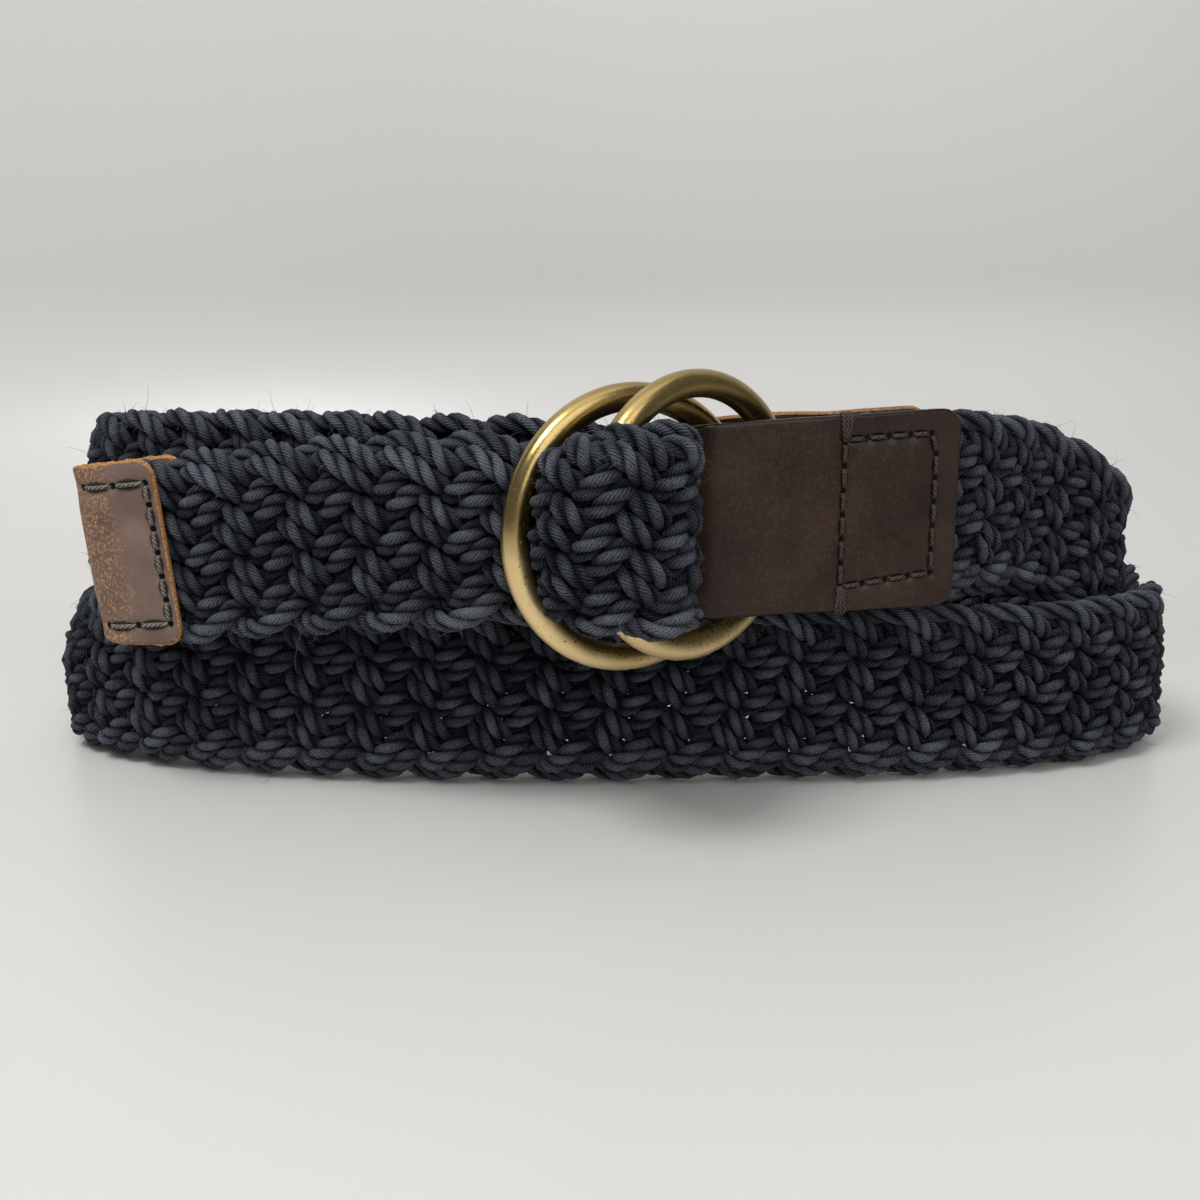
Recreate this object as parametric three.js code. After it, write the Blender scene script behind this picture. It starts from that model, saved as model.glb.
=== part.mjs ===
// A braided cotton belt, fastened by its two brass rings and stood on edge as a coil of two turns.
// Millimetres. X runs right along the coil, Y away from the viewer, Z up; the belt stands on Z = 0.
import * as THREE from 'three';

// Driving sizes of the strap.
const strapWidth = 34;
const strapThickness = 7;
const braidPitch = 11.1;
const braidRelief = 0.8;
const edgeScallop = 0.9;
const edgeRoundness = 0.3;

// Driving sizes of the coil that the strap makes.
const coilLength = 222;
const coilDepth = 72;
const coilSquareness = 2.4;
const windingGap = 0.6;
const tightBend = 20;
const headingReach = 0.6;

// Driving sizes of the rings and the leather.
const ringDiameter = 48;
const ringWire = 4.6;
const leatherThickness = 1.6;
const tabWidth = 34.2;
const tabNarrowing = 2.2;
const tabGrip = 20;
const tipWidth = 32.6;
const tipNarrowing = 2.4;
const tipGrip = 12.4;
const cornerRadius = 3.5;
const cutSpacing = 1.3;
const seatGap = 0.4;
const endInset = 0.5;

// Sizes that follow from them.
const layerStep = strapThickness + windingGap;
const turnStep = strapWidth + windingGap;
const halfLength = (coilLength - strapThickness) / 2;
const halfDepth = (coilDepth - strapThickness) / 2;
const wireRadius = (ringDiameter - ringWire) / 2;
const wrapRadius = ringWire / 2 + seatGap + strapThickness / 2;
const leatherOffset = strapThickness / 2 + seatGap + leatherThickness / 2;

// Turns rows of numbers into objects that carry the names of their columns. A short row leaves its
// last columns out.
function table(columns, rows) {
  const names = columns.split(' ');
  return rows.map((row) => Object.fromEntries(row.map((value, i) => [names[i], value])));
}

// The shape of a strap that is neither cupped, bowed, squeezed nor leaning.
const flatShape = { right: 0, back: 0, top: 0, foot: 0, width: 1, lean: 0 };

// Where the rings hang: their place along the coil as a share of its half length, strap layers in
// front of the lower turn, rise in turns above it, and how far they are turned to the left.
const [outerRing, innerRing] = table('along layers rise turn', [
  [0.028, 1.80, 0.940, 30],
  [0.122, 1.93, 1.001, 41],
]);

// The start of the strap, inside the buckle tab and just out of it.
const startRoute = table('along layers rise', [
  [0.347, 0.76, 0.992],
  [0.441, 0.46, 1.002],
  [0.535, 0.12, 1.006],
]);

// Two turns round the coil: degrees from its right end, strap layers towards its inside, the rise
// of the lower edge in turns, how far the upper and lower edge bow inwards in strap widths, and the
// width in strap widths. The strap sinks inside the lower turn, runs round it, and climbs back
// outside itself.
const coilRoute = table('degrees inward rise top foot width', [
  [-53, 0.30, 0.962],
  [-46, 0.93, 0.915],
  [-39, 1.06, 0.85],
  [-29, 1, 0.72],
  [-15, 1, 0.55],
  [0, 1, 0.45],
  [18, 1, 0.37],
  [38, 1, 0.29],
  [60, 1, 0.19],
  [90, 1, 0.08],
  [118, 1, 0, 0, 0, 0.98],
  [132, 0.85, 0, 0.02, 0.01, 0.96],
  [145, 0.40, 0, 0.07, 0.02, 0.95],
  [157, 0.08, 0, 0.14, 0.02, 0.945],
  [170, -0.08, 0, 0.20, 0.03, 0.94],
  [181, -0.15, 0, 0.22, 0.03, 0.935],
  [193, -0.10, 0, 0.20, 0.03, 0.94],
  [206, -0.02, 0, 0.12, 0.02, 0.965],
  [222, 0, 0, 0.04, 0.01, 0.99],
  [242, 0, 0],
  [270, 0, 0],
  [298, 0, 0, 0, 0, 0.99],
  [318, 0, 0, 0.01, 0, 0.972],
  [334, -0.02, 0, 0.03, 0.01, 0.965],
  [347, -0.15, 0, 0.06, 0.01, 0.96],
  [359, -0.22, 0.01, 0.07, 0.01, 0.96],
  [371, -0.20, 0.06, 0.06, 0.01, 0.965],
  [385, -0.10, 0.17, 0.02, 0, 0.98],
  [403, 0, 0.31],
  [424, 0, 0.49],
  [450, 0, 0.71, 0, 0, 0.99],
  [474, 0, 0.90, 0, 0, 0.97],
  [488, 0.10, 0.945, 0.02, 0, 0.955],
  [502, 0.36, 0.945, 0.08, 0.02, 0.96],
  [517, 0.58, 0.945, 0.15, 0.03, 0.97],
  [532, 0.68, 0.945, 0.18, 0.03, 0.98],
  [545, 0.70, 0.945, 0.18, 0.03, 0.98],
  [558, 0.76, 0.955, 0.10, 0.02, 0.985],
  [571, 0.82, 0.972, 0.03, 0, 0.99],
  [585, 0.68, 0.988],
]);

// The stretch that leaves the coil and comes forward to the rings.
const approachRoute = table('along layers rise', [
  [-0.545, -0.61, 0.99],
  [-0.376, 0.31, 1],
  [-0.263, 0.85, 1],
]);

// The loop through both rings and back over the inner one, measured from the left side of a ring:
// degrees round its wire, strap layers off the wire, rise in turns, how far both edges lie right of
// and behind the middle in strap widths, and the width in strap widths.
const loopRoute = table('ring degrees off rise right back width', [
  [0, 92, 1.42, 0.994, 0, 0, 1],
  [0, 60, 1.69, 0.988, 0, 0, 0.96],
  [1, 75, 1.66, 0.991, 0, 0, 0.94],
  [1, 50, 1.30, 1.000, 0, 0, 0.94],
  [1, 23, 1.02, 1.009, 0, 0, 0.95],
  [1, -6, 0.90, 1.015, 0, 0, 0.97],
  [1, -34, 0.64, 1.020, 0.02, 0.02, 0.98],
  [1, -64, 0.30, 1.017, 0.06, 0.07, 0.97],
  [1, -94, 0.17, 1.011, 0.10, 0.11, 0.96],
  [1, -128, 0.16, 1.000, 0.13, 0.12, 0.94],
  [1, -160, 0.14, 0.985, 0.12, 0.12, 0.91],
  [0, 0, 0.08, 0.964, 0.135, 0.12, 0.87],
  [0, 30, 0.08, 0.957, 0.14, 0.13, 0.86],
  [0, 62, 0.06, 0.950, 0.13, 0.12, 0.89],
  [0, 92, 0.04, 0.944, 0.09, 0.07, 0.93],
]);

// The free end, in front of the coil and drooping to the left. Its last column says how far each
// cut leans forward, as a share of its height.
const freeRoute = table('along layers rise right back width lean', [
  [-0.254, 2.10, 0.935, 0.03, 0.02, 0.98, 0.02],
  [-0.357, 1.65, 0.915, 0, 0, 1, 0.06],
  [-0.526, 0.97, 0.866, 0, 0, 1, 0.12],
  [-0.690, 0.48, 0.799, 0, 0, 1, 0.12],
  [-0.765, 0.22, 0.775, 0, 0, 0.94, 0.12],
  [-0.811, 0.05, 0.761, 0, 0, 0.90, 0.12],
]);

// The loop of the buckle tab round the rings, in plan, between its two layers on the strap.
const tabLoop = table('along layers rise', [
  [0.282, 1.59, 0.988],
  [0.207, 1.83, 0.980],
  [0.148, 1.95, 0.972],
  [0.108, 1.66, 0.965],
  [0.091, 1.14, 0.963],
  [0.099, 0.52, 0.963],
  [0.146, 0.01, 0.970],
  [0.211, -0.34, 0.980],
  [0.282, -0.41, 0.988],
]);

// A point in front of the coil, from its share of the half length and its layers.
function frontPoint({ along, layers, rise }) {
  return new THREE.Vector3(
    along * halfLength,
    -halfDepth - layers * layerStep,
    strapWidth / 2 + rise * turnStep,
  );
}

// A point on the coil: a superellipse, moved square to itself by whole or part layers.
function coilPoint({ degrees, inward, rise, width = 1 }) {
  const angle = THREE.MathUtils.degToRad(degrees);
  const power = 2 / coilSquareness;
  const x = Math.sign(Math.cos(angle)) * Math.abs(Math.cos(angle)) ** power;
  const y = Math.sign(Math.sin(angle)) * Math.abs(Math.sin(angle)) ** power;
  const normal = new THREE.Vector3(
    (Math.sign(x) * Math.abs(x) ** (coilSquareness - 1)) / halfLength,
    (Math.sign(y) * Math.abs(y) ** (coilSquareness - 1)) / halfDepth,
    0,
  ).normalize();
  const height = (width * strapWidth) / 2 + rise * turnStep;
  return new THREE.Vector3(x * halfLength, y * halfDepth, height)
    .addScaledVector(normal, -inward * layerStep);
}

// A ring's centre, and the direction that runs through it from its left side to its right side.
function ringFrame(ring) {
  const turn = THREE.MathUtils.degToRad(ring.turn);
  return {
    centre: frontPoint(ring),
    across: new THREE.Vector3(Math.cos(turn), Math.sin(turn), 0),
  };
}

// A point of the loop, measured from the left side of the ring that its row names.
function loopPoint({ ring, degrees, off, rise }) {
  const { centre, across } = ringFrame(ring ? innerRing : outerRing);
  const angle = THREE.MathUtils.degToRad(degrees);
  const distance = wrapRadius + off * layerStep;
  const point = centre.addScaledVector(across, -wireRadius);
  point.x += distance * Math.cos(angle);
  point.y += distance * Math.sin(angle);
  point.z = strapWidth / 2 + rise * turnStep;
  return point;
}

// The shape of the strap between two others.
function mixedShape(a, b, share) {
  return Object.fromEntries(Object.keys(flatShape)
    .map((name) => [name, THREE.MathUtils.lerp(a[name], b[name], share)]));
}

// A smooth route through points, read by the length run along it. Each point may carry how its
// edges lie, its width and its lean, which pass smoothly from one point to the next. The route
// never sinks lower than a strap that stands on Z = 0.
function smoothRoute(points, shapes) {
  const samplesPerRow = 24;
  const curve = new THREE.CatmullRomCurve3(points);
  const count = (points.length - 1) * samplesPerRow;
  const samples = [];
  let run = 0;
  for (let i = 0; i <= count; i++) {
    const place = curve.getPoint(i / count);
    if (i) run += place.distanceTo(samples[i - 1].place);
    const row = Math.min(Math.floor(i / samplesPerRow), points.length - 2);
    const share = THREE.MathUtils.smoothstep(i / samplesPerRow - row, 0, 1);
    const shape = mixedShape(shapes[row], shapes[row + 1], share);
    place.z = Math.max(place.z, (shape.width * strapWidth) / 2);
    samples.push({ place, run, ...shape });
  }
  return { samples, length: run };
}

// The route's place and shape after a given run, between the two nearest samples.
function routeAt({ samples, length }, run) {
  const wanted = THREE.MathUtils.clamp(run, 0, length);
  const next = Math.max(1, samples.findIndex((sample) => sample.run >= wanted - 1e-9));
  const [a, b] = [samples[next - 1], samples[next]];
  const share = (wanted - a.run) / (b.run - a.run);
  return { place: a.place.clone().lerp(b.place, share), ...mixedShape(a, b, share) };
}

// The route's place with its level heading, and the level direction that points to its right.
function stationAt(route, run) {
  const here = routeAt(route, run);
  const ahead = routeAt(route, run + headingReach).place;
  const heading = ahead.sub(routeAt(route, run - headingReach).place);
  heading.z = 0;
  heading.normalize();
  return { ...here, run, heading, side: new THREE.Vector3(heading.y, -heading.x, 0) };
}

// Joins rings of points into one closed skin. Each ring runs up the right side and down the left,
// so its two halves pair up, and the ends are closed by strips between them.
function skinOf(rings) {
  const size = rings[0].length;
  const position = rings.flat().flatMap((point) => [point.x, point.y, point.z]);
  const index = [];
  const at = (ring, i) => ring * size + (i % size);
  for (let ring = 0; ring + 1 < rings.length; ring++) {
    for (let i = 0; i < size; i++) {
      index.push(at(ring, i), at(ring + 1, i + 1), at(ring, i + 1));
      index.push(at(ring, i), at(ring + 1, i), at(ring + 1, i + 1));
    }
  }
  const last = rings.length - 1;
  for (let i = 0; i + 1 < size / 2; i++) {
    const [a, b, c, d] = [i, i + 1, size - 2 - i, size - 1 - i];
    index.push(at(0, a), at(0, b), at(0, d), at(0, b), at(0, c), at(0, d));
    index.push(at(last, a), at(last, d), at(last, b), at(last, b), at(last, d), at(last, c));
  }
  const geometry = new THREE.BufferGeometry();
  geometry.setAttribute('position', new THREE.Float32BufferAttribute(position, 3));
  geometry.setIndex(index);
  geometry.computeVertexNormals();
  return geometry;
}

function material(color, roughness, metalness) {
  return new THREE.MeshStandardMaterial({ color, roughness, metalness });
}

const cotton = material(0x262a34, 0.95, 0);
const brass = material(0x9a7d3e, 0.35, 1);
const darkLeather = material(0x46342d, 0.55, 0);
const paleLeather = material(0x645046, 0.7, 0);

// The whole route of the strap, from its end in the buckle tab to its end in the tip tab.
function strapRoute() {
  const plain = (rows, point) => rows.map((row) => [point(row), flatShape]);
  const shaped = (rows, point) => rows.map((row) => [point(row), { ...flatShape, ...row }]);
  const stops = [
    ...plain(startRoute, frontPoint),
    ...shaped(coilRoute, coilPoint),
    ...plain(approachRoute, frontPoint),
    ...shaped(loopRoute, loopPoint),
    ...shaped(freeRoute, frontPoint),
  ];
  return smoothRoute(stops.map((stop) => stop[0]), stops.map((stop) => stop[1]));
}

// Where the strap is cut across: every half pitch, and three times as often where it bends tightly.
function strapRuns(route) {
  const coarse = braidPitch / 2;
  const fine = braidPitch / 6;
  const steps = Math.round(route.length / fine);
  const runs = [];
  for (let i = 0; i <= steps; i++) {
    const run = (i * route.length) / steps;
    const before = stationAt(route, run - coarse / 2).heading;
    const after = stationAt(route, run + coarse / 2).heading;
    const bends = before.angleTo(after) > coarse / tightBend;
    if (i % 3 === 0 || i === steps || bends) runs.push(run);
  }
  return runs;
}

// One cut across the strap: five lines of floats that rise and sink in turn on both faces, between
// two thin scalloped edges. The lower edge stays flat where the strap stands on the surface.
function strapSection(route, run) {
  const { place, heading, side, ...shape } = stationAt(route, run);
  const rise = (place.z - strapWidth / 2) / turnStep;
  const beat = (2 * Math.PI * run) / braidPitch;
  const lines = 7;
  const points = [];
  for (const face of [1, -1]) {
    for (let i = 0; i < lines; i++) {
      const line = face > 0 ? i : lines - 1 - i;
      const edge = line === 0 || line === lines - 1;
      const share = line / (lines - 1) - 0.5;
      const float = 0.5 + 0.5 * Math.cos(beat + Math.PI * line);
      const half = edge
        ? strapThickness * edgeRoundness
        : strapThickness / 2 - braidRelief * (1 - float);
      const standing = line === 0 ? THREE.MathUtils.clamp(rise, 0, 1) : 1;
      const scallop = edge ? edgeScallop * (1 - float) * standing * Math.sign(share) : 0;
      const cup = (2 * share) ** 2 * strapWidth;
      const inward = cup * (share > 0 ? shape.top : shape.foot);
      const height = share * strapWidth * shape.width - scallop;
      points.push(place.clone()
        .add(new THREE.Vector3(shape.right * cup, shape.back * cup, height))
        .addScaledVector(heading, shape.lean * height)
        .addScaledVector(side, face * half - inward));
    }
  }
  return points;
}

function braidedStrap(route) {
  const skin = skinOf(strapRuns(route).map((run) => strapSection(route, run)));
  const mesh = new THREE.Mesh(skin, cotton);
  mesh.name = 'braided_strap';
  return mesh;
}

// A round ring that stands upright and is turned to the left about its upright axis.
function buckleRing(name, ring) {
  const mesh = new THREE.Mesh(new THREE.TorusGeometry(wireRadius, ringWire / 2, 10, 40), brass);
  mesh.name = name;
  mesh.position.copy(ringFrame(ring).centre);
  mesh.rotation.set(Math.PI / 2, THREE.MathUtils.degToRad(ring.turn), 0, 'ZXY');
  return mesh;
}

// How much lower a leather end is cut, a given distance in from it, by its rounded corners.
function cornerCut(distance) {
  const left = Math.max(0, cornerRadius - distance);
  return cornerRadius - Math.sqrt(cornerRadius ** 2 - left ** 2);
}

// A leather strip on edge along a route, with rounded corners at both ends. Its upright direction
// may lean.
function leatherStrip(route, halfHeightAt, upright) {
  const ends = [0, 0.12, 0.35, 0.65, 1].map((share) => share * cornerRadius);
  const middle = [];
  const steps = Math.round((route.length - 2 * cornerRadius) / cutSpacing);
  for (let i = 1; i < steps; i++) {
    middle.push(cornerRadius + (i * (route.length - 2 * cornerRadius)) / steps);
  }
  const runs = [...ends, ...middle, ...ends.map((run) => route.length - run).reverse()];
  return skinOf(runs.map((run) => {
    const { place, side } = stationAt(route, run);
    const fromEnd = Math.min(run, route.length - run);
    const half = halfHeightAt(fromEnd) - cornerCut(fromEnd);
    return [[1, -1], [1, 1], [-1, 1], [-1, -1]].map(([face, up]) => place.clone()
      .addScaledVector(side, (face * leatherThickness) / 2)
      .addScaledVector(upright, up * half));
  }));
}

// A point beside the strap, on its right (1) or left (-1), at the leather's distance.
function besideStrap(route, run, face) {
  const { place, side } = stationAt(route, run);
  return place.clone().addScaledVector(side, face * leatherOffset);
}

// A strip of leather folded round both rings, with the start of the strap between its layers.
function buckleTab(route) {
  const grip = [tabGrip, tabGrip * 0.66, tabGrip * 0.33, endInset];
  const front = grip.map((run) => besideStrap(route, run, 1));
  const behind = grip.map((run) => besideStrap(route, run, -1)).reverse();
  const points = [...front, ...tabLoop.map(frontPoint), ...behind];
  const strip = smoothRoute(points, points.map(() => flatShape));
  const upright = new THREE.Vector3(0, 0, 1);
  const halfHeightAt = (fromEnd) => tabWidth / 2 - (tabNarrowing * fromEnd) / strip.length;
  const mesh = new THREE.Mesh(leatherStrip(strip, halfHeightAt, upright), darkLeather);
  mesh.name = 'buckle_tab';
  return mesh;
}

// A strip of leather folded over the free end, a little lower at its fold. It leans with the strap.
function tipTab(route) {
  const grip = [tipGrip, tipGrip * 0.66, tipGrip * 0.33, endInset]
    .map((back) => route.length - back);
  const front = grip.map((run) => besideStrap(route, run, -1));
  const behind = grip.map((run) => besideStrap(route, run, 1)).reverse();
  const end = stationAt(route, route.length);
  const fold = [-0.7, 0, 0.7].map((share) => end.place.clone()
    .addScaledVector(end.heading, leatherOffset * Math.sqrt(1 - share ** 2))
    .addScaledVector(end.side, leatherOffset * share));
  const points = [...front, ...fold, ...behind];
  const strip = smoothRoute(points, points.map(() => flatShape));
  const upright = new THREE.Vector3(0, 0, 1).addScaledVector(end.heading, end.lean);
  const halfHeightAt = (fromEnd) => tipWidth / 2 - (tipNarrowing * fromEnd) / strip.length;
  const mesh = new THREE.Mesh(leatherStrip(strip, halfHeightAt, upright), paleLeather);
  mesh.name = 'tip_tab';
  return mesh;
}

const route = strapRoute();
const belt = new THREE.Group();
belt.add(
  braidedStrap(route),
  buckleRing('ring_outer', outerRing),
  buckleRing('ring_inner', innerRing),
  buckleTab(route),
  tipTab(route),
);

// The belt stands with the middle of its bounding box over the origin.
const box = new THREE.Box3().setFromObject(belt, true);
belt.position.set(-(box.min.x + box.max.x) / 2, -(box.min.y + box.max.y) / 2, -box.min.z);

export default belt;
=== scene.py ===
import math

import bpy
import numpy as np
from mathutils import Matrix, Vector


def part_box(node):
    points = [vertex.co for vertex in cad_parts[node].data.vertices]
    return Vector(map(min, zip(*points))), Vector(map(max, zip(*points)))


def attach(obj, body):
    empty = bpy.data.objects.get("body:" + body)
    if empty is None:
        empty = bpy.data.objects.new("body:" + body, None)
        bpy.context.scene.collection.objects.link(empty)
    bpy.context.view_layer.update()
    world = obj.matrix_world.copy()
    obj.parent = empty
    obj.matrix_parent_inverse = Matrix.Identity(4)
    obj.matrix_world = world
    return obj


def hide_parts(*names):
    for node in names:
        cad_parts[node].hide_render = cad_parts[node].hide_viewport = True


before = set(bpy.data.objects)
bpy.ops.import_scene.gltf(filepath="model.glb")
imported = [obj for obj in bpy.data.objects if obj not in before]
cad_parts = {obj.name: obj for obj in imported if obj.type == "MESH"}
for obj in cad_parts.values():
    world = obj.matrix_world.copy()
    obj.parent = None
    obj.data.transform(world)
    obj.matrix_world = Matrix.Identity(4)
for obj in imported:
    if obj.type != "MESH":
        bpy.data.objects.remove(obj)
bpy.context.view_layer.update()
print("scene: frame loaded")

millimetre = 0.001
chance = np.random.default_rng(11)

strap = dict(width=34, thickness=7, gap=0.6)
coil = dict(length=222, depth=72, squareness=2.4)
ring = dict(diameter=48, wire=4.6, seat=0.4)
leather = dict(thickness=1.6, corner=3.5, inset=0.5)
tab = dict(width=34.2, narrowing=2.2, grip=20, ragged=0.02)
tip = dict(width=32.6, narrowing=2.4, grip=12.4, ragged=0.12)

layerStep = strap["thickness"] + strap["gap"]
turnStep = strap["width"] + strap["gap"]
halfLength = (coil["length"] - strap["thickness"]) / 2
halfDepth = (coil["depth"] - strap["thickness"]) / 2
wireRadius = (ring["diameter"] - ring["wire"]) / 2
wrapRadius = ring["wire"] / 2 + ring["seat"] + strap["thickness"] / 2
leatherOffset = strap["thickness"] / 2 + ring["seat"] + leather["thickness"] / 2


def table(columns, rows):
    """Rows of numbers as dictionaries with the names of their columns; a short row leaves some out."""
    return [dict(zip(columns.split(), row)) for row in rows]


# The same route as the CAD strap, in shares of the coil's sizes.
outerRing, innerRing = table("along layers rise turn", [
    (0.028, 1.80, 0.940, 30),
    (0.122, 1.93, 1.001, 41),
])
startRoute = table("along layers rise", [
    (0.347, 0.76, 0.992),
    (0.441, 0.46, 1.002),
    (0.535, 0.12, 1.006),
])
coilRoute = table("degrees inward rise top foot width", [
    (-53, 0.30, 0.962), (-46, 0.93, 0.915), (-39, 1.06, 0.85), (-29, 1, 0.72), (-15, 1, 0.55),
    (0, 1, 0.45), (18, 1, 0.37), (38, 1, 0.29), (60, 1, 0.19), (90, 1, 0.08),
    (118, 1, 0, 0, 0, 0.98), (132, 0.85, 0, 0.02, 0.01, 0.96), (145, 0.40, 0, 0.07, 0.02, 0.95),
    (157, 0.08, 0, 0.14, 0.02, 0.945), (170, -0.08, 0, 0.20, 0.03, 0.94),
    (181, -0.15, 0, 0.22, 0.03, 0.935), (193, -0.10, 0, 0.20, 0.03, 0.94),
    (206, -0.02, 0, 0.12, 0.02, 0.965), (222, 0, 0, 0.04, 0.01, 0.99), (242, 0, 0), (270, 0, 0),
    (298, 0, 0, 0, 0, 0.99), (318, 0, 0, 0.01, 0, 0.972), (334, -0.02, 0, 0.03, 0.01, 0.965),
    (347, -0.15, 0, 0.06, 0.01, 0.96), (359, -0.22, 0.01, 0.07, 0.01, 0.96),
    (371, -0.20, 0.06, 0.06, 0.01, 0.965), (385, -0.10, 0.17, 0.02, 0, 0.98), (403, 0, 0.31),
    (424, 0, 0.49), (450, 0, 0.71, 0, 0, 0.99), (474, 0, 0.90, 0, 0, 0.97),
    (488, 0.10, 0.945, 0.02, 0, 0.955), (502, 0.36, 0.945, 0.08, 0.02, 0.96),
    (517, 0.58, 0.945, 0.15, 0.03, 0.97), (532, 0.68, 0.945, 0.18, 0.03, 0.98),
    (545, 0.70, 0.945, 0.18, 0.03, 0.98), (558, 0.76, 0.955, 0.10, 0.02, 0.985),
    (571, 0.82, 0.972, 0.03, 0, 0.99), (585, 0.68, 0.988),
])
approachRoute = table("along layers rise", [
    (-0.545, -0.61, 0.99),
    (-0.376, 0.31, 1),
    (-0.263, 0.85, 1),
])
loopRoute = table("ring degrees off rise right back width", [
    (0, 92, 1.42, 0.994, 0, 0, 1),
    (0, 60, 1.69, 0.988, 0, 0, 0.96),
    (1, 75, 1.66, 0.991, 0, 0, 0.94),
    (1, 50, 1.30, 1.000, 0, 0, 0.94),
    (1, 23, 1.02, 1.009, 0, 0, 0.95),
    (1, -6, 0.90, 1.015, 0, 0, 0.97),
    (1, -34, 0.64, 1.020, 0.02, 0.02, 0.98),
    (1, -64, 0.30, 1.017, 0.06, 0.07, 0.97),
    (1, -94, 0.17, 1.011, 0.10, 0.11, 0.96),
    (1, -128, 0.16, 1.000, 0.13, 0.12, 0.94),
    (1, -160, 0.14, 0.985, 0.12, 0.12, 0.91),
    (0, 0, 0.08, 0.964, 0.135, 0.12, 0.87),
    (0, 30, 0.08, 0.957, 0.14, 0.13, 0.86),
    (0, 62, 0.06, 0.950, 0.13, 0.12, 0.89),
    (0, 92, 0.04, 0.944, 0.09, 0.07, 0.93),
])
freeRoute = table("along layers rise right back width lean", [
    (-0.254, 2.10, 0.935, 0.03, 0.02, 0.98, 0.02),
    (-0.357, 1.65, 0.915, 0, 0, 1, 0.06),
    (-0.526, 0.97, 0.866, 0, 0, 1, 0.12),
    (-0.690, 0.48, 0.799, 0, 0, 1, 0.12),
    (-0.765, 0.22, 0.775, 0, 0, 0.94, 0.12),
    (-0.811, 0.05, 0.761, 0, 0, 0.90, 0.12),
])
tabLoop = table("along layers rise", [
    (0.282, 1.59, 0.988),
    (0.207, 1.83, 0.980),
    (0.148, 1.95, 0.972),
    (0.108, 1.66, 0.965),
    (0.091, 1.14, 0.963),
    (0.099, 0.52, 0.963),
    (0.146, 0.01, 0.970),
    (0.211, -0.34, 0.980),
    (0.282, -0.41, 0.988),
])
flatShape = dict(right=0, back=0, top=0, foot=0, width=1, lean=0)


def heightAt(rise):
    """Height of the strap's middle: half its width plus that many turns."""
    return strap["width"] / 2 + rise * turnStep


def frontPoint(row):
    """A point in front of the coil: a share of the half length, and layers towards the viewer."""
    return np.array([
        row["along"] * halfLength, -halfDepth - row["layers"] * layerStep, heightAt(row["rise"]),
    ])


def coilPoint(row):
    """A point of a superellipse, |x/a|^n + |y/b|^n = 1, moved along its normal by whole or part layers."""
    angle = math.radians(row["degrees"])
    power = 2 / coil["squareness"]
    x = math.copysign(abs(math.cos(angle)) ** power, math.cos(angle))
    y = math.copysign(abs(math.sin(angle)) ** power, math.sin(angle))
    bend = coil["squareness"] - 1
    normal = np.array([
        math.copysign(abs(x) ** bend, x) / halfLength, math.copysign(abs(y) ** bend, y) / halfDepth,
    ])
    normal /= np.linalg.norm(normal)
    level = np.array([x * halfLength, y * halfDepth]) - normal * row["inward"] * layerStep
    height = row.get("width", 1) * strap["width"] / 2 + row["rise"] * turnStep
    return np.array([*level, height])


def ringFrame(row):
    """A ring's centre, and the direction that runs through it from its left side to its right."""
    turn = math.radians(row["turn"])
    return frontPoint(row), np.array([math.cos(turn), math.sin(turn), 0])


def loopPoint(row):
    """A point round the left side of a ring: the wrap radius and some layers away, at an angle."""
    centre, across = ringFrame(innerRing if row["ring"] else outerRing)
    angle = math.radians(row["degrees"])
    distance = wrapRadius + row["off"] * layerStep
    left = centre - wireRadius * across
    return np.array([
        left[0] + distance * math.cos(angle), left[1] + distance * math.sin(angle),
        heightAt(row["rise"]),
    ])


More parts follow.
